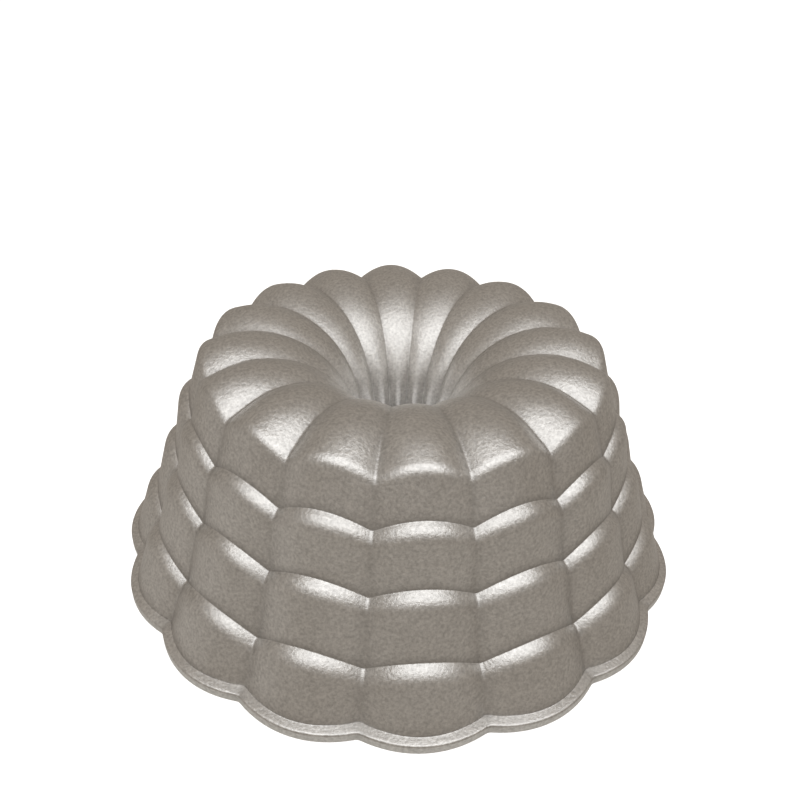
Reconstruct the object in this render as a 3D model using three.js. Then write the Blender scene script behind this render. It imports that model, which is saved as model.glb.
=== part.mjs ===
// Fluted tube pan: one aluminium casting with a bonded non-stick lining on its cake side.
// It stands crown up on its brim. The brim's face is z = 0 and the pan's axis is Z. Millimetres.
import * as THREE from "three";

// Flutes. Sizes are taken on the crest of a flute. Names ending in DIP say how much smaller
// the same size is in the valley between two flutes.
const FLUTES = 16;
const FLUTE_FACETS = 4;
const FLUTE_ROUNDNESS = THREE.MathUtils.degToRad(47);

// Brim: the flat rim that the pan stands on. Its top falls outwards from the wall's foot.
const BRIM_RADIUS = 130;
const BRIM_DIP = 4.7;
const BRIM_THICKNESS = 5.4;
const BRIM_FALL = 0.9;
const BRIM_EDGE_ROUND = 0.9;
const BRIM_WIDTH = 3.4;
const BRIM_WIDTH_DIP = -1.1;
const FOOT_ROUND = 0.6;

// Wall tiers from the brim up. A setback is how far a ledge lies inside the line below it, and an
// arch is how far the ledge rises from the valley to the crest of its flute.
const LOWER_TIER_HEIGHT = 30.6;
const LOWER_TIER_SETBACK = 12.6;
const LOWER_LEDGE_DIP = 2.9;
const LOWER_LEDGE_ARCH = 8;
const MIDDLE_TIER_HEIGHT = 25.4;
const MIDDLE_TIER_SETBACK = 11.3;
const MIDDLE_LEDGE_DIP = 1.8;
const MIDDLE_LEDGE_ARCH = 7.1;
const UPPER_TIER_HEIGHT = 24.3;
const UPPER_TIER_SETBACK = 8.9;
const UPPER_LEDGE_DIP = 0.9;
const UPPER_LEDGE_ARCH = 6.5;
const CROWN_TIER_HEIGHT = 18.4;
const CROWN_TIER_SETBACK = 5.9;

// Ledges between the tiers.
const LEDGE_WIDTH = 4.7;
const LEDGE_WIDTH_DIP = 1.2;
const LEDGE_FALL = 2.6;
const LEDGE_FALL_DIP = 0.6;
const SHOULDER_REACH = 3.6;

// Crown: the top of the pan as it stands here, running into the centre tube.
const CROWN_EDGE_ARCH = 6.6;
const CROWN_EDGE_DIP = 1.2;
const CROWN_EDGE_REACH = 3;
const CROWN_RISE = 4.9;
const CROWN_RISE_DIP = -2;
const CROWN_SLOPE_RISE = 3.2;
const CROWN_SLOPE_RUN = 8;
const CROWN_TOP_RADIUS = 68;
const CROWN_TOP_DIP = 4;
const CROWN_TOP_REACH = 8;

// Centre tube: the funnel from the crown's top line to the throat, then a tapered tube to its tip.
const FUNNEL_TOP_REACH = 23.7;
const FUNNEL_THROAT_REACH = 27;
const THROAT_RADIUS = 18.2;
const THROAT_DIP = -2.6;
const THROAT_HEIGHT = 56;
const TIP_RADIUS = 13;
const TIP_DIP = -1.2;
const TIP_HEIGHT = 6;

// Wall of the casting, the softened inner edge of the brim, and the lining's film.
const WALL = 3.2;
const LIP_CHAMFER = 1;
const LINING_THICKNESS = 0.05;

// Facets along the round stretches of a meridian.
const SHOULDER_FACETS = 2;
const CROWN_FACETS = 3;
const FUNNEL_FACETS = 6;

// A corner of a meridian: x is the distance from the axis and y is the height.
function corner(radius, height) {
  return new THREE.Vector2(radius, height);
}

// The point that lies a given distance from one point towards another.
function towards(from, to, distance) {
  return to.clone().sub(from).setLength(distance).add(from);
}

// The point at a given height on the straight line through two points.
function atHeight(a, b, height) {
  return a.clone().lerp(b, (height - a.y) / (b.y - a.y));
}

// A rounded corner as points on the curve that leaves both straight lines at the same reach.
function rounded(before, at, after, reach) {
  const start = towards(at, before, reach);
  const end = towards(at, after, reach);
  return new THREE.QuadraticBezierCurve(start, at, end).getPoints(SHOULDER_FACETS);
}

// The corners of the wall, on a crest (dip 0) or in a valley (dip 1): the foot on the brim,
// then each ledge's shoulder and its inner line, then the edge of the crown.
function wallCorners(dip) {
  const brim = BRIM_RADIUS - dip * BRIM_DIP;
  const foot = BRIM_RADIUS - BRIM_WIDTH;
  const corners = [corner(brim - BRIM_WIDTH + dip * BRIM_WIDTH_DIP, BRIM_THICKNESS)];
  const tiers = [
    [LOWER_TIER_SETBACK, LOWER_TIER_HEIGHT, LOWER_LEDGE_DIP, LOWER_LEDGE_ARCH],
    [MIDDLE_TIER_SETBACK, MIDDLE_TIER_HEIGHT, MIDDLE_LEDGE_DIP, MIDDLE_LEDGE_ARCH],
    [UPPER_TIER_SETBACK, UPPER_TIER_HEIGHT, UPPER_LEDGE_DIP, UPPER_LEDGE_ARCH],
  ];
  let radius = foot;
  let height = 0;
  for (const [setback, rise, ledgeDip, arch] of tiers) {
    radius -= setback;
    height += rise;
    const inner = corner(radius - dip * ledgeDip, height - dip * arch);
    const width = LEDGE_WIDTH - dip * LEDGE_WIDTH_DIP;
    const fall = LEDGE_FALL - dip * LEDGE_FALL_DIP;
    corners.push(corner(inner.x + width, inner.y - fall), inner);
  }
  radius -= CROWN_TIER_SETBACK + dip * CROWN_EDGE_DIP;
  height += CROWN_TIER_HEIGHT - dip * CROWN_EDGE_ARCH;
  corners.push(corner(radius, height));
  return corners;
}

// The outer skin's meridian, from the brim's plane up the wall, over the crown and down the tube.
function skin(dip) {
  const wall = wallCorners(dip);
  const edge = wall.at(-1);
  const top = corner(
    CROWN_TOP_RADIUS - dip * CROWN_TOP_DIP,
    edge.y + CROWN_RISE - dip * CROWN_RISE_DIP,
  );
  const throat = corner(THROAT_RADIUS - dip * THROAT_DIP, THROAT_HEIGHT);
  const tip = corner(TIP_RADIUS - dip * TIP_DIP, TIP_HEIGHT);
  const slope = corner(edge.x - CROWN_SLOPE_RUN, edge.y + CROWN_SLOPE_RISE);

  const points = [atHeight(wall[1], wall[0], 0)];
  for (let i = 1; i < wall.length - 1; i += 2) {
    points.push(...rounded(wall[i - 1], wall[i], wall[i + 1], SHOULDER_REACH), wall[i + 1]);
  }
  const crownEdge = rounded(wall.at(-2), edge, slope, CROWN_EDGE_REACH);
  const crown = new THREE.CubicBezierCurve(
    crownEdge.at(-1),
    slope,
    corner(top.x + CROWN_TOP_REACH, top.y),
    top,
  );
  const funnel = new THREE.CubicBezierCurve(
    top,
    corner(top.x - FUNNEL_TOP_REACH, top.y),
    towards(throat, tip, -FUNNEL_THROAT_REACH),
    throat,
  );
  points.push(...crownEdge);
  points.push(...crown.getPoints(CROWN_FACETS).slice(1));
  points.push(...funnel.getPoints(FUNNEL_FACETS).slice(1));
  points.push(tip);
  return points;
}

// The meridian at a given depth under the skin. Its two ends stay at the skin's own heights.
function below(points, depth) {
  const normals = points.slice(1).map((point, i) => {
    const along = point.clone().sub(points[i]).normalize();
    return corner(-along.y, along.x);
  });
  return points.map((point, i) => {
    if (i === 0) return corner(point.x + depth / normals[0].x, point.y);
    if (i === normals.length) return corner(point.x + depth / normals[i - 1].x, point.y);
    const mitre = normals[i - 1].clone().add(normals[i]);
    return mitre.multiplyScalar(depth / (1 + normals[i - 1].dot(normals[i]))).add(point);
  });
}

// The rim's outline from its standing face, round both edges and up to the wall's foot.
function brimOutline(dip) {
  const radius = BRIM_RADIUS - dip * BRIM_DIP;
  const [foot, shoulder] = wallCorners(dip);
  const edge = corner(radius, BRIM_THICKNESS - BRIM_FALL);
  return [
    corner(radius - BRIM_EDGE_ROUND, 0),
    corner(radius, BRIM_EDGE_ROUND),
    corner(radius, edge.y - BRIM_EDGE_ROUND),
    towards(edge, foot, BRIM_EDGE_ROUND),
    towards(foot, edge, FOOT_ROUND),
    towards(foot, shoulder, FOOT_ROUND),
  ];
}

// The casting's cake side, from the tip of the tube back to the chamfered lip of the brim.
function cakeSide(dip, depth) {
  const inner = below(skin(dip), depth);
  const lip = atHeight(inner[0], inner[1], LIP_CHAMFER);
  return [lip, ...inner.slice(1)].reverse();
}

// The closed section of the casting on a crest or in a valley.
function castingSection(dip) {
  const inner = cakeSide(dip, WALL);
  const landing = below(skin(dip), WALL)[0];
  return [
    ...brimOutline(dip),
    ...skin(dip).slice(1),
    ...inner,
    corner(landing.x + LIP_CHAMFER, 0),
  ];
}

// The closed section of the lining: the casting's cake side and the same line one film deeper.
function liningSection(dip) {
  return [...cakeSide(dip, WALL).reverse(), ...cakeSide(dip, WALL + LINING_THICKNESS)];
}

// A closed ring swept round the axis. Its section swells from the valley section to the crest
// section and back across every flute, along a circular arc. Each four-sided patch is split
// along its shorter diagonal, so two bodies that share a surface share its facets.
function flutedRing(section) {
  const crest = section(0);
  const valley = section(1);
  const columns = FLUTES * FLUTE_FACETS;
  const rows = crest.length;
  const points = [];
  for (let column = 0; column < columns; column += 1) {
    const across = ((column % FLUTE_FACETS) / FLUTE_FACETS) * 2 - 1;
    const base = Math.cos(FLUTE_ROUNDNESS);
    const swell = (Math.cos(across * FLUTE_ROUNDNESS) - base) / (1 - base);
    const angle = ((column - FLUTE_FACETS / 2) / columns) * 2 * Math.PI;
    for (let row = 0; row < rows; row += 1) {
      const at = valley[row].clone().lerp(crest[row], swell);
      points.push(new THREE.Vector3(at.x * Math.sin(angle), -at.x * Math.cos(angle), at.y));
    }
  }
  const index = [];
  for (let column = 0; column < columns; column += 1) {
    for (let row = 0; row < rows; row += 1) {
      const next = (column + 1) % columns;
      const above = (row + 1) % rows;
      const a = column * rows + row;
      const b = next * rows + row;
      const c = next * rows + above;
      const d = column * rows + above;
      const shorter = points[a].distanceToSquared(points[c]) < points[b].distanceToSquared(points[d]);
      index.push(...(shorter ? [a, b, c, a, c, d] : [a, b, d, b, c, d]));
    }
  }
  const geometry = new THREE.BufferGeometry().setFromPoints(points).setIndex(index);
  geometry.computeVertexNormals();
  return geometry;
}

const castAluminium = new THREE.MeshStandardMaterial({
  color: new THREE.Color().setRGB(0.6, 0.57, 0.53, THREE.SRGBColorSpace),
  metalness: 0.9,
  roughness: 0.42,
});
const nonStick = new THREE.MeshStandardMaterial({
  color: new THREE.Color().setRGB(0.27, 0.26, 0.25, THREE.SRGBColorSpace),
  metalness: 0.2,
  roughness: 0.5,
});

const casting = new THREE.Mesh(flutedRing(castingSection), castAluminium);
casting.name = "pan_casting";

const lining = new THREE.Mesh(flutedRing(liningSection), nonStick);
lining.name = "nonstick_lining";

const pan = new THREE.Group();
pan.add(casting, lining);

export default pan;
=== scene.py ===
import math

import bpy
from mathutils import Matrix, Vector


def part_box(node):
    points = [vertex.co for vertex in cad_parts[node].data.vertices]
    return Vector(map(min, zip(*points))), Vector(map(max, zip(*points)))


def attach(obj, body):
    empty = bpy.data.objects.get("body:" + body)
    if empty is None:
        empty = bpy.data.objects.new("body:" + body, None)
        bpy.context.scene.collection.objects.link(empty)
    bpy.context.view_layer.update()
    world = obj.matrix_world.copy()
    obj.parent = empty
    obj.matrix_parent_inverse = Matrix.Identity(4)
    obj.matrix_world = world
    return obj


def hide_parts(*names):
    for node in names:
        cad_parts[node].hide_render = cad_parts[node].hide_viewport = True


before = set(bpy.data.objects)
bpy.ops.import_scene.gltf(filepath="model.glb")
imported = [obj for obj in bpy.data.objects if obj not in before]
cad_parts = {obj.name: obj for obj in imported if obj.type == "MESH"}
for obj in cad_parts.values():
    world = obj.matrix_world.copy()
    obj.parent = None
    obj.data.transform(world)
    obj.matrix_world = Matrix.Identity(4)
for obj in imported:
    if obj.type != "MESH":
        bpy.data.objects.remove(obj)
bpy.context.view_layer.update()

# Pan casting. One thick aluminium casting: a scalloped brim, four stepped tiers of sixteen flutes, and a
# crown that turns down into the centre tube. It is cast in a sand mould, blasted to an even grain and
# sprayed outside with a warm pewter metallic finish.
MM = 0.001

# Flutes. Sizes are taken on the crest of a flute, and a DIP is how much smaller they are in the valley.
# The crease of a valley is rounded over a share of half a flute.
FLUTES = 16
FLUTE_ROUNDNESS = math.radians(47)
VALLEY_FILLET = 0.05

# Brim, the flat rim that the pan stands on.
BRIM_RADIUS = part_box("pan_casting")[1].x
BRIM_DIP = 4.7 * MM
BRIM_THICKNESS = 5.4 * MM
BRIM_EDGE_ROUND = 0.9 * MM
BRIM_WIDTH = 3.4 * MM
BRIM_WIDTH_DIP = -1.1 * MM
BRIM_FALL = 0.9 * MM
FOOT_FILLET = 0.3 * MM

# Tiers of the wall from the brim up: setback, height, and how far the ledge on top dips in the valley
# inwards and downwards.
TIERS = (
    (12.6 * MM, 30.6 * MM, 2.9 * MM, 8 * MM),
    (11.3 * MM, 25.4 * MM, 1.8 * MM, 7.1 * MM),
    (8.9 * MM, 24.3 * MM, 0.9 * MM, 6.5 * MM),
)
CROWN_TIER_SETBACK = 5.9 * MM
CROWN_TIER_HEIGHT = 18.4 * MM

# Ledges between the tiers, which arch up to the crest of every flute.
LEDGE_WIDTH = 4.7 * MM
LEDGE_WIDTH_DIP = 1.2 * MM
LEDGE_FALL = 2.6 * MM
LEDGE_FALL_DIP = 0.6 * MM
LEDGE_FILLET = 0.3 * MM
SHOULDER_REACH = 3.6 * MM

# Crown, and the centre tube that it turns down into.
CROWN_EDGE_ARCH = 6.6 * MM
CROWN_EDGE_DIP = 1.2 * MM
CROWN_EDGE_REACH = 3 * MM
CROWN_RISE = 4.9 * MM
CROWN_RISE_DIP = -2 * MM
CROWN_SLOPE_RISE = 3.2 * MM
CROWN_SLOPE_RUN = 8 * MM
CROWN_TOP_RADIUS = 68 * MM
CROWN_TOP_DIP = 4 * MM
CROWN_TOP_REACH = 8 * MM
FUNNEL_TOP_REACH = 23.7 * MM
FUNNEL_THROAT_REACH = 27 * MM
THROAT_RADIUS = 18.2 * MM
THROAT_DIP = -2.6 * MM
THROAT_HEIGHT = 56 * MM
TIP_RADIUS = 13 * MM
TIP_DIP = -1.2 * MM
TIP_HEIGHT = 6 * MM
TIP_ROUND = 0.8 * MM

# Wall between the outside and the cake side, and the softened inner edge of the brim.
WALL = 3.2 * MM
LIP_ROUND = 1 * MM

# Columns of faces across half a flute and across half the crease of a valley, and rows along a meridian.
FLUTE_STEPS = 9
VALLEY_STEPS = 3
RUN_STEPS = 4
CORNER_STEPS = 5
CROWN_STEPS = 12
FUNNEL_STEPS = 22


def at(radius, height):
    """A point of a meridian."""
    return Vector((radius, height))


def towards(start, end, distance):
    """The point that lies a distance from start towards end."""
    return start + (end - start).normalized() * distance


def at_height(low, high, height):
    """The point at a height on the straight line through two points."""
    return low.lerp(high, (height - low.y) / (high.y - low.y))


def curve(controls, steps):
    """Points along the Bezier curve of these control points, both ends included."""
    points = []
    for step in range(steps + 1):
        level = controls
        while len(level) > 1:
            level = [a.lerp(b, step / steps) for a, b in zip(level, level[1:])]
        points.append(level[0])
    return points


def softened(corners, reaches):
    """A run of straight lines whose inner corners are rounded, each over its own reach."""
    points = [corners[0]]
    for before, corner, after, reach in zip(corners, corners[1:], corners[2:], reaches):
        start = towards(corner, before, reach)
        points += curve([points[-1], start], RUN_STEPS)[1:-1]
        points += curve([start, corner, towards(corner, after, reach)], CORNER_STEPS)
    points += curve([points[-1], corners[-1]], RUN_STEPS)[1:]
    return points


def wall_corners(dip):
    """Corners of the wall on a crest (dip 0) or in a valley (dip 1), from the foot to the crown's edge."""
    brim = BRIM_RADIUS - dip * BRIM_DIP
    corners = [at(brim - BRIM_WIDTH + dip * BRIM_WIDTH_DIP, BRIM_THICKNESS)]
    radius = BRIM_RADIUS - BRIM_WIDTH
    height = 0
    for setback, rise, ledge_dip, ledge_arch in TIERS:
        radius -= setback
        height += rise
        ledge = at(radius - dip * ledge_dip, height - dip * ledge_arch)
        width = LEDGE_WIDTH - dip * LEDGE_WIDTH_DIP
        fall = LEDGE_FALL - dip * LEDGE_FALL_DIP
        corners += [ledge + at(width, -fall), ledge]
    radius -= CROWN_TIER_SETBACK + dip * CROWN_EDGE_DIP
    height += CROWN_TIER_HEIGHT - dip * CROWN_EDGE_ARCH
    return corners + [at(radius, height)]


def tube_ends(dip):
    """The throat under the funnel and the open tip of the tube."""
    throat = at(THROAT_RADIUS - dip * THROAT_DIP, THROAT_HEIGHT)
    tip = at(TIP_RADIUS - dip * TIP_DIP, TIP_HEIGHT)
    return throat, tip


def wall_and_crown(dip):
    """The outside's meridian from the brim's plane up the tiers, over the crown and down to the throat."""
    wall = wall_corners(dip)
    edge = wall[-1]
    slope = edge + at(-CROWN_SLOPE_RUN, CROWN_SLOPE_RISE)
    top = at(CROWN_TOP_RADIUS - dip * CROWN_TOP_DIP, edge.y + CROWN_RISE - dip * CROWN_RISE_DIP)
    throat, tip = tube_ends(dip)
    reaches = [SHOULDER_REACH, LEDGE_FILLET] * len(TIERS) + [CROWN_EDGE_REACH]
    points = softened([at_height(wall[0], wall[1], 0)] + wall[1:] + [slope], reaches)[:-RUN_STEPS]
    points += curve([points[-1], slope, top + at(CROWN_TOP_REACH, 0), top], CROWN_STEPS)[1:]
    above_throat = towards(throat, tip, -FUNNEL_THROAT_REACH)
    points += curve([top, top - at(FUNNEL_TOP_REACH, 0), above_throat, throat], FUNNEL_STEPS)[1:]
    return points


def below(points, depth):
    """The meridian at a depth under the outside. Its first point stays at its own height."""
    normals = []
    for a, b in zip(points, points[1:]):
        along = (b - a).normalized()
        normals.append(at(-along.y, along.x))
    moved = [points[0] + at(depth / normals[0].x, 0)]
    for point, before, after in zip(points[1:], normals, normals[1:]):
        moved.append(point + (before + after) * depth / (1 + before.dot(after)))
    moved.append(points[-1] + normals[-1] * depth)
    return moved


def casting_section(dip):
    """The closed section of the casting: brim, outside, tube tip and cake side."""
    radius = BRIM_RADIUS - dip * BRIM_DIP
    foot = wall_corners(dip)[0]
    outside = wall_and_crown(dip)
    inside = below(outside, WALL)[::-1]
    tip = tube_ends(dip)[1]
    stem = (tip - outside[-1]).normalized()
    inner_tip = at_height(inside[0], inside[0] + stem, TIP_HEIGHT)
    lip = inside[-1]
    standing = at((lip.x + radius) / 2, 0)
    brim = [standing, at(radius, 0), at(radius, BRIM_THICKNESS - BRIM_FALL), foot, outside[1]]
    section = softened(brim, [BRIM_EDGE_ROUND, BRIM_EDGE_ROUND, FOOT_FILLET])[:-1] + outside[1:-1]
    section += softened([outside[-1], tip, inner_tip, inside[0]], [TIP_ROUND, TIP_ROUND])
    section += inside[1:-2]
    section += softened([inside[-2], lip, standing], [LIP_ROUND])[:-1]
    return section


def swell(across):
    """How far the section has grown from valley (0) to crest (1), across a flute from -1 to 1."""
    share = min(abs(across), 1 - VALLEY_FILLET)
    base = math.cos(FLUTE_ROUNDNESS)
    grown = (math.cos(share * FLUTE_ROUNDNESS) - base) / (1 - base)
    slope = FLUTE_ROUNDNESS * math.sin(share * FLUTE_ROUNDNESS) / (1 - base)
    past = abs(across) - share
    return grown - slope * past + slope * past * past / (2 * VALLEY_FILLET)


def flute_columns():
    """Where the columns of faces lie across one flute, from -1 in one valley to just short of the next."""
    half = [(1 - VALLEY_FILLET) * step / FLUTE_STEPS for step in range(FLUTE_STEPS + 1)]
    half += [1 - VALLEY_FILLET * (1 - step / VALLEY_STEPS) for step in range(1, VALLEY_STEPS + 1)]
    return [-across for across in half[:0:-1]] + half[:-1]


def placed(name, data):
    """A new object of the scene that holds a mesh, a light or a camera."""
    thing = bpy.data.objects.new(name, data)
    bpy.context.scene.collection.objects.link(thing)
    return thing


def fluted_ring(name, section):
    """A closed body swept round the axis between its valley section and its crest section."""
    flute = flute_columns()
    crest = section(0)
    valley = section(1)
    rows = len(crest)
    columns = FLUTES * len(flute)
    verts = []
    for turn in range(FLUTES):
        for across in flute:
            angle = (turn + across / 2) * math.tau / FLUTES
            grown = swell(across)
            for low, high in zip(valley, crest):
                radius, height = low.lerp(high, grown)
                verts.append((radius * math.sin(angle), -radius * math.cos(angle), height))
    faces = []
    for column in range(columns):
        here = column * rows
        there = (column + 1) % columns * rows
        for row in range(rows):
            above = (row + 1) % rows
            faces.append((here + row, there + row, there + above, here + above))
    mesh = bpy.data.meshes.new(name)
    mesh.from_pydata(verts, [], faces)
    mesh.shade_smooth()
    body = placed(name, mesh)
    body.modifiers.new("even shading", "WEIGHTED_NORMAL")
    return body


casting = fluted_ring("cast_pan", casting_section)

# Painted crevice shade. The colour is painted darker above the foot, above every ledge and along the
# valleys, as the shade that falls in these hollows. A mark says how deep a point lies in one of them,
# and the painted shade follows its power.
FOOT_SHADE_REACH = 2.5 * MM
LEDGE_SHADE_REACH = 6 * MM
VALLEY_SHADE = 0.7
VALLEY_SHADE_SPREAD = 0.2
CREVICE_SHADE_POWER = 3
CREVICE_SHADE_STRENGTH = 0.55
CREVICE_SHADE_TONE = (0.25, 0.24, 0.23)


def painted_shade_marks(section, dip):
    """How close each row of a section lies above the foot or a ledge's inner line, from 0 to 1, for
    painted shade.
    """
    lines = wall_corners(dip)[:-1:2]
    reaches = [FOOT_SHADE_REACH] + [LEDGE_SHADE_REACH] * len(TIERS)
    marks = []
    for point in section(dip):
        near = [
            1 - (point - line).length / reach
            for line, reach in zip(lines, reaches)
            if point.y >= line.y
        ]
        marks.append(max([0] + near))
    return marks


crest_shade_marks = painted_shade_marks(casting_section, 0)
valley_shade_marks = painted_shade_marks(casting_section, 1)
row_shade_marks = [max(pair) for pair in zip(crest_shade_marks, valley_shade_marks)]
flute_shade_marks = []
for across in flute_columns():
    in_valley = max(0, 1 - (1 - abs(across)) / VALLEY_SHADE_SPREAD)
    valley_shade_mark = VALLEY_SHADE * in_valley ** (1 / CREVICE_SHADE_POWER)
    flute_shade_marks += [max(mark, valley_shade_mark) for mark in row_shade_marks]
# The marks go on the mesh as an attribute that paints shade into the pewter's colour.
painted_crevice_shade = casting.data.attributes.new("painted_crevice_shade", "FLOAT", "POINT")
painted_crevice_shade.data.foreach_set("value", flute_shade_marks * FLUTES)

# Grain of the blasted casting, as noise per metre. It lies between a low and a high level.
GRAIN_SCALE = 800
GRAIN_DETAIL = 3
GRAIN_ROUGHNESS = 0.62
RIPPLE_SCALE = 90
RIPPLE_DETAIL = 2
RIPPLE_SHARE = 0.5
MOTTLE_SCALE = 40
MOTTLE_DETAIL = 3
NOISE_LOW = 0.3
NOISE_HIGH = 0.7


def cast_grain_group():
    """Blasted casting grain: a bump height, a mask of bright grains and a soft mottle."""
    group = bpy.data.node_groups.new("cast grain", "ShaderNodeTree")
    sockets = group.interface
    scales = (("Grain Scale", GRAIN_SCALE), ("Ripple Scale", RIPPLE_SCALE), ("Mottle Scale", MOTTLE_SCALE))
    for label, scale in scales:
        sockets.new_socket(label, in_out="INPUT", socket_type="NodeSocketFloat").default_value = scale
    for label in ("Height", "Bright Grain", "Mottle"):
        sockets.new_socket(label, in_out="OUTPUT", socket_type="NodeSocketFloat")
    nodes = group.nodes
    link = group.links.new
    given = nodes.new("NodeGroupInput")
    result = nodes.new("NodeGroupOutput")
    place = nodes.new("ShaderNodeTexCoord").outputs["Object"]

    grain = nodes.new("ShaderNodeTexNoise")
    grain.inputs["Detail"].default_value = GRAIN_DETAIL
    grain.inputs["Roughness"].default_value = GRAIN_ROUGHNESS
    link(place, grain.inputs["Vector"])
    link(given.outputs["Grain Scale"], grain.inputs["Scale"])

    ripple = nodes.new("ShaderNodeTexNoise")
    ripple.inputs["Detail"].default_value = RIPPLE_DETAIL
    link(place, ripple.inputs["Vector"])
    link(given.outputs["Ripple Scale"], ripple.inputs["Scale"])

    height = nodes.new("ShaderNodeMath")
    height.operation = "MULTIPLY_ADD"
    height.inputs[1].default_value = RIPPLE_SHARE
    link(ripple.outputs["Fac"], height.inputs[0])
    link(grain.outputs["Fac"], height.inputs[2])
    link(height.outputs["Value"], result.inputs["Height"])

    bright = nodes.new("ShaderNodeMapRange")
    bright.inputs["From Min"].default_value = NOISE_LOW
    bright.inputs["From Max"].default_value = NOISE_HIGH
    link(grain.outputs["Fac"], bright.inputs["Value"])
    link(bright.outputs["Result"], result.inputs["Bright Grain"])

    mottle = nodes.new("ShaderNodeTexNoise")
    mottle.inputs["Detail"].default_value = MOTTLE_DETAIL
    link(place, mottle.inputs["Vector"])
    link(given.outputs["Mottle Scale"], mottle.inputs["Scale"])
    link(mottle.outputs["Fac"], result.inputs["Mottle"])
    return group


cast_grain = cast_grain_group()

# Pewter finish: its darkest and brightest grain, its gloss and how strongly its grain stands out.
PEWTER_DARK = (0.52, 0.508, 0.492)
PEWTER_LIGHT = (0.78, 0.762, 0.738)
PEWTER_ROUGHNESS = 0.42
PEWTER_RELIEF = 0.9
GLOSS_SPREAD = 0.04
RELIEF_DEPTH = 0.2 * MM


def grained_finish(name, dark, light, roughness, relief_strength):
    """A finish whose grain shows as bump, as brighter grains and as a soft change of gloss."""
    material = bpy.data.materials.new(name)
    material.use_nodes = True
    nodes = material.node_tree.nodes
    link = material.node_tree.links.new
    shader = nodes["Principled BSDF"]
    grain = nodes.new("ShaderNodeGroup")
    grain.node_tree = cast_grain

    colour = nodes.new("ShaderNodeMix")
    colour.data_type = "RGBA"
    colour.inputs["A"].default_value = (*dark, 1)
    colour.inputs["B"].default_value = (*light, 1)
    link(grain.outputs["Bright Grain"], colour.inputs["Factor"])
    link(colour.outputs["Result"], shader.inputs["Base Color"])

    gloss = nodes.new("ShaderNodeMapRange")
    gloss.inputs["From Min"].default_value = NOISE_LOW
    gloss.inputs["From Max"].default_value = NOISE_HIGH
    gloss.inputs["To Min"].default_value = roughness - GLOSS_SPREAD
    gloss.inputs["To Max"].default_value = roughness + GLOSS_SPREAD
    link(grain.outputs["Mottle"], gloss.inputs["Value"])
    link(gloss.outputs["Result"], shader.inputs["Roughness"])

    relief = nodes.new("ShaderNodeBump")
    relief.inputs["Strength"].default_value = relief_strength
    relief.inputs["Distance"].default_value = RELIEF_DEPTH
    link(grain.outputs["Height"], relief.inputs["Height"])
    link(relief.outputs["Normal"], shader.inputs["Normal"])
    return material, shader


def paint_crevice_shade(material, shader):
    """Painted shade: the base colour is mixed towards a dark shade tone where the crevice shade attribute
    of the mesh is high.
    """
    nodes = material.node_tree.nodes
    link = material.node_tree.links.new
    mark = nodes.new("ShaderNodeAttribute")
    mark.attribute_name = "painted_crevice_shade"
    depth = nodes.new("ShaderNodeMath")
    depth.operation = "POWER"
    depth.inputs[1].default_value = CREVICE_SHADE_POWER
    link(mark.outputs["Fac"], depth.inputs[0])
    amount = nodes.new("ShaderNodeMath")
    amount.operation = "MULTIPLY"
    amount.inputs[1].default_value = CREVICE_SHADE_STRENGTH
    link(depth.outputs["Value"], amount.inputs[0])
    shade = nodes.new("ShaderNodeMix")
    shade.data_type = "RGBA"
    shade.inputs["B"].default_value = (*CREVICE_SHADE_TONE, 1)
    link(amount.outputs["Value"], shade.inputs["Factor"])
    link(shader.inputs["Base Color"].links[0].from_socket, shade.inputs["A"])
    link(shade.outputs["Result"], shader.inputs["Base Color"])


pewter, pewter_shader = grained_finish(
    "warm pewter finish", PEWTER_DARK, PEWTER_LIGHT, PEWTER_ROUGHNESS, PEWTER_RELIEF
)
pewter_shader.inputs["Metallic"].default_value = 1
# The pewter's colour gets painted shade above the foot, above the ledges and along the valleys.
paint_crevice_shade(pewter, pewter_shader)
casting.data.materials.append(pewter)
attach(casting, "root")
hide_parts("pan_casting")

# Non-stick lining. A baked-on release coat, sprayed over the whole cake side and down the outside of
# the tube's stem. It is a dark satin film that follows the casting and stops at the brim's inner edge.
LINING_THICKNESS = 0.05 * MM
COAT_DARK = (0.05, 0.048, 0.046)
COAT_LIGHT = (0.085, 0.081, 0.077)
COAT_ROUGHNESS = 0.42
COAT_RELIEF = 0.3
COAT_METALLIC = 0.35


def lining_section(dip):
    """The closed section of the film, from the brim's lip to the tube's tip and back."""
    outside = wall_and_crown(dip)
    tip = tube_ends(dip)[1]
    stem = (tip - outside[-1]).normalized()
    section = []
    for depth in (WALL, WALL + LINING_THICKNESS):
        face = below(outside, depth)
        lip = at_height(face[0], face[1], LIP_ROUND)
        end = at_height(face[-1], face[-1] + stem, TIP_HEIGHT + TIP_ROUND)
        side = [lip] + face[1:] + curve([face[-1], end], RUN_STEPS)[1:]
        section += side if depth == WALL else side[::-1]
    return section


lining = fluted_ring("release_coat", lining_section)
coat, coat_shader = grained_finish(
    "dark release coat", COAT_DARK, COAT_LIGHT, COAT_ROUGHNESS, COAT_RELIEF
)
coat_shader.inputs["Metallic"].default_value = COAT_METALLIC
lining.data.materials.append(coat)
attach(lining, "root")
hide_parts("nonstick_lining")

# Studio. A wide pale floor under the brim and a dim warm surround. One large soft panel hangs in front of
# the pan and over it, a dim card stands at its left, and a soft lamp in the tube stands for the light that
# a pale table throws up through it.
FLOOR_HALF = 6
FLOOR_DROP = 0.05 * MM
FLOOR_TONE = (0.95, 0.95, 0.95)
FLOOR_ROUGHNESS = 0.8
FLOOR_GLOW = 0.75
WHITE = (1, 1, 1)

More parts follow.
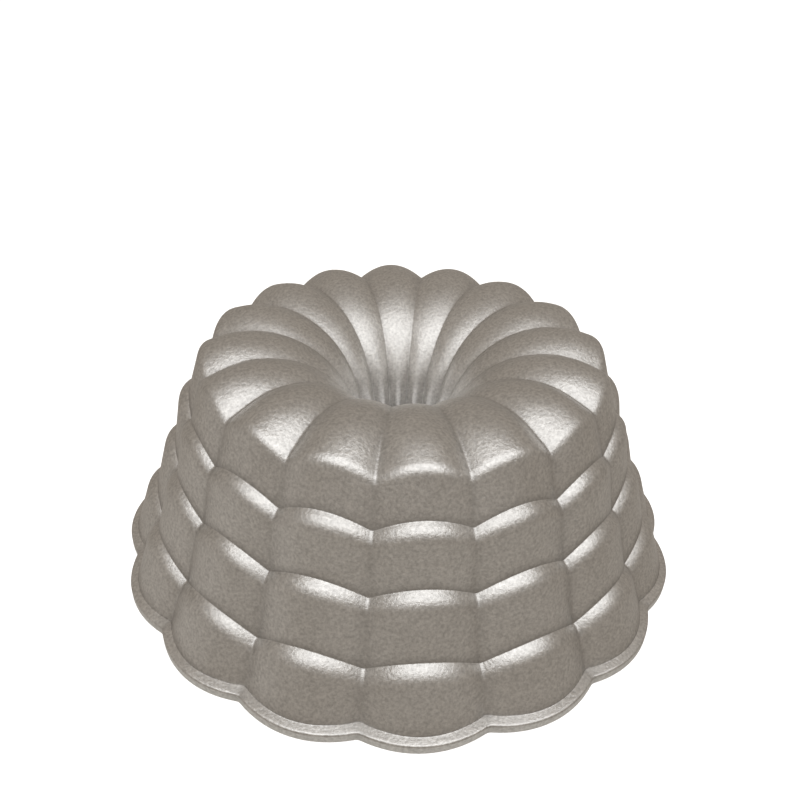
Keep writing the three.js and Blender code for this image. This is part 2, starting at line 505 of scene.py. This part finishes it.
floor_mesh = bpy.data.meshes.new("floor")
floor_mesh.from_pydata(
    [(x * FLOOR_HALF, y * FLOOR_HALF, -FLOOR_DROP) for x, y in ((-1, -1), (1, -1), (1, 1), (-1, 1))],
    [],
    [(0, 1, 2, 3)],
)
floor = placed("floor", floor_mesh)
floor_paint = bpy.data.materials.new("pale floor")
floor_paint.use_nodes = True
floor_nodes = floor_paint.node_tree.nodes
floor_link = floor_paint.node_tree.links.new
floor_shader = floor_nodes["Principled BSDF"]
floor_shader.inputs["Base Color"].default_value = (*FLOOR_TONE, 1)
floor_shader.inputs["Roughness"].default_value = FLOOR_ROUGHNESS
floor_shader.inputs["Emission Color"].default_value = (*WHITE, 1)
floor_shader.inputs["Emission Strength"].default_value = FLOOR_GLOW
# From below the floor is clear, so that the cake side can be seen.
floor_side = floor_nodes.new("ShaderNodeNewGeometry")
clear = floor_nodes.new("ShaderNodeBsdfTransparent")
seen = floor_nodes.new("ShaderNodeMixShader")
floor_link(floor_side.outputs["Backfacing"], seen.inputs["Fac"])
floor_link(floor_shader.outputs["BSDF"], seen.inputs[1])
floor_link(clear.outputs["BSDF"], seen.inputs[2])
floor_link(seen.outputs["Shader"], floor_nodes["Material Output"].inputs["Surface"])
floor_mesh.materials.append(floor_paint)
floor.visible_glossy = False
floor.visible_diffuse = False

# Surround: its tones by the height of their direction, from -1 straight down to 1 straight up.
TABLE_TONE = (0.67, 0.65, 0.61)
LOW_TONE = (0.354, 0.318, 0.277)
EYE_LEVEL_TONE = (0.324, 0.291, 0.254)
HIGH_TONE = (0.388, 0.348, 0.303)
CEILING_TONE = (0.375, 0.336, 0.293)
SURROUND_TONES = (
    (-0.8, TABLE_TONE),
    (-0.45, LOW_TONE),
    (-0.15, LOW_TONE),
    (0.1, EYE_LEVEL_TONE),
    (0.5, HIGH_TONE),
    (1, CEILING_TONE),
)

surround = bpy.data.worlds.new("warm surround")
surround.use_nodes = True
sky_nodes = surround.node_tree.nodes
sky_link = surround.node_tree.links.new
direction = sky_nodes.new("ShaderNodeTexCoord")
split = sky_nodes.new("ShaderNodeSeparateXYZ")
level = sky_nodes.new("ShaderNodeMapRange")
level.inputs["From Min"].default_value = -1
level.inputs["From Max"].default_value = 1
tones = sky_nodes.new("ShaderNodeValToRGB")
while len(tones.color_ramp.elements) < len(SURROUND_TONES):
    tones.color_ramp.elements.new(1)
for stop, (height, tone) in zip(tones.color_ramp.elements, SURROUND_TONES):
    stop.position = (height + 1) / 2
    stop.color = (*tone, 1)
sky_link(direction.outputs["Generated"], split.inputs["Vector"])
sky_link(split.outputs["Z"], level.inputs["Value"])
sky_link(level.outputs["Result"], tones.inputs["Fac"])
sky_link(tones.outputs["Color"], sky_nodes["Background"].inputs["Color"])
# The surround lights the pan, and behind the pan the camera sees a plain pale backdrop instead.
backdrop = sky_nodes.new("ShaderNodeBackground")
backdrop.inputs["Color"].default_value = (*WHITE, 1)
ray = sky_nodes.new("ShaderNodeLightPath")
shown = sky_nodes.new("ShaderNodeMixShader")
sky_link(ray.outputs["Is Camera Ray"], shown.inputs["Fac"])
sky_link(sky_nodes["Background"].outputs["Background"], shown.inputs[1])
sky_link(backdrop.outputs["Background"], shown.inputs[2])
sky_link(shown.outputs["Shader"], sky_nodes["World Output"].inputs["Surface"])
bpy.context.scene.world = surround

# Lamps. A radiance is what the lamp's own face would show, and azimuth 0 is in front of the pan.
PANEL_WIDTH = 1.7
PANEL_HEIGHT = 0.88
PANEL_DISTANCE = 1
PANEL_ELEVATION = math.radians(60.4)
PANEL_AZIMUTH = math.radians(1.5)
PANEL_RADIANCE = 1.42
PANEL_TINT = (0.97, 1, 1.03)
CARD_WIDTH = 1.4
CARD_HEIGHT = 1.2
CARD_DISTANCE = 1.4
CARD_ELEVATION = math.radians(-12)
CARD_AZIMUTH = math.radians(-90)
CARD_RADIANCE = 0.1
GLOW_RADIUS = 15 * MM
GLOW_HEIGHT = 55 * MM
GLOW_RADIANCE = 0.5


def aimed(place, aim, roll):
    """The frame of something at a place that looks at a point, turned about its own view."""
    back = (place - aim).normalized()
    side = Vector((0, 0, 1)).cross(back).normalized()
    axes = Matrix((side, back.cross(side), back)).transposed()
    return Matrix.Translation(place) @ axes.to_4x4() @ Matrix.Rotation(roll, 4, "Z")


def soft_light(name, width, height, distance, elevation, azimuth, radiance):
    """A rectangle of even light that faces the pan and is hidden from the camera."""
    light = bpy.data.lights.new(name, "AREA")
    light.shape = "RECTANGLE"
    light.size = width
    light.size_y = height
    light.energy = radiance * math.pi * width * height
    lamp = placed(name, light)
    flat = math.cos(elevation)
    away = Vector((math.sin(azimuth) * flat, -math.cos(azimuth) * flat, math.sin(elevation)))
    lamp.matrix_world = aimed(away * distance, Vector((0, 0, 0)), 0)
    lamp.visible_camera = False
    return light


panel = soft_light(
    "soft panel",
    PANEL_WIDTH, PANEL_HEIGHT, PANEL_DISTANCE, PANEL_ELEVATION, PANEL_AZIMUTH, PANEL_RADIANCE,
)
panel.color = PANEL_TINT
soft_light(
    "side card",
    CARD_WIDTH, CARD_HEIGHT, CARD_DISTANCE, CARD_ELEVATION, CARD_AZIMUTH, CARD_RADIANCE,
)

glow = bpy.data.lights.new("tube glow", "POINT")
glow.shadow_soft_size = GLOW_RADIUS
glow.energy = GLOW_RADIANCE * math.pi * 4 * math.pi * GLOW_RADIUS * GLOW_RADIUS
glow_lamp = placed("tube glow", glow)
glow_lamp.location.z = GLOW_HEIGHT
glow_lamp.visible_camera = False

# Camera. A short lens held above the front of the pan and a little to its left, so that it looks down
# on the crown and into the funnel. It is turned a little about its own view.
CAMERA_PLACE = Vector((-0.0293, -0.2931, 0.2597))
CAMERA_AIM = Vector((-0.001, 0.0001, 0.0697))
CAMERA_ROLL = math.radians(1.87)
CAMERA_LENS = 34.56
CAMERA_SENSOR = 36
CAMERA_NEAR = 0.01

camera = bpy.data.cameras.new("camera")
camera.lens = CAMERA_LENS
camera.sensor_width = CAMERA_SENSOR
camera.clip_start = CAMERA_NEAR
camera_object = placed("camera", camera)
camera_object.matrix_world = aimed(CAMERA_PLACE, CAMERA_AIM, CAMERA_ROLL)
bpy.context.scene.camera = camera_object
bpy.context.scene.view_settings.view_transform = "Standard"
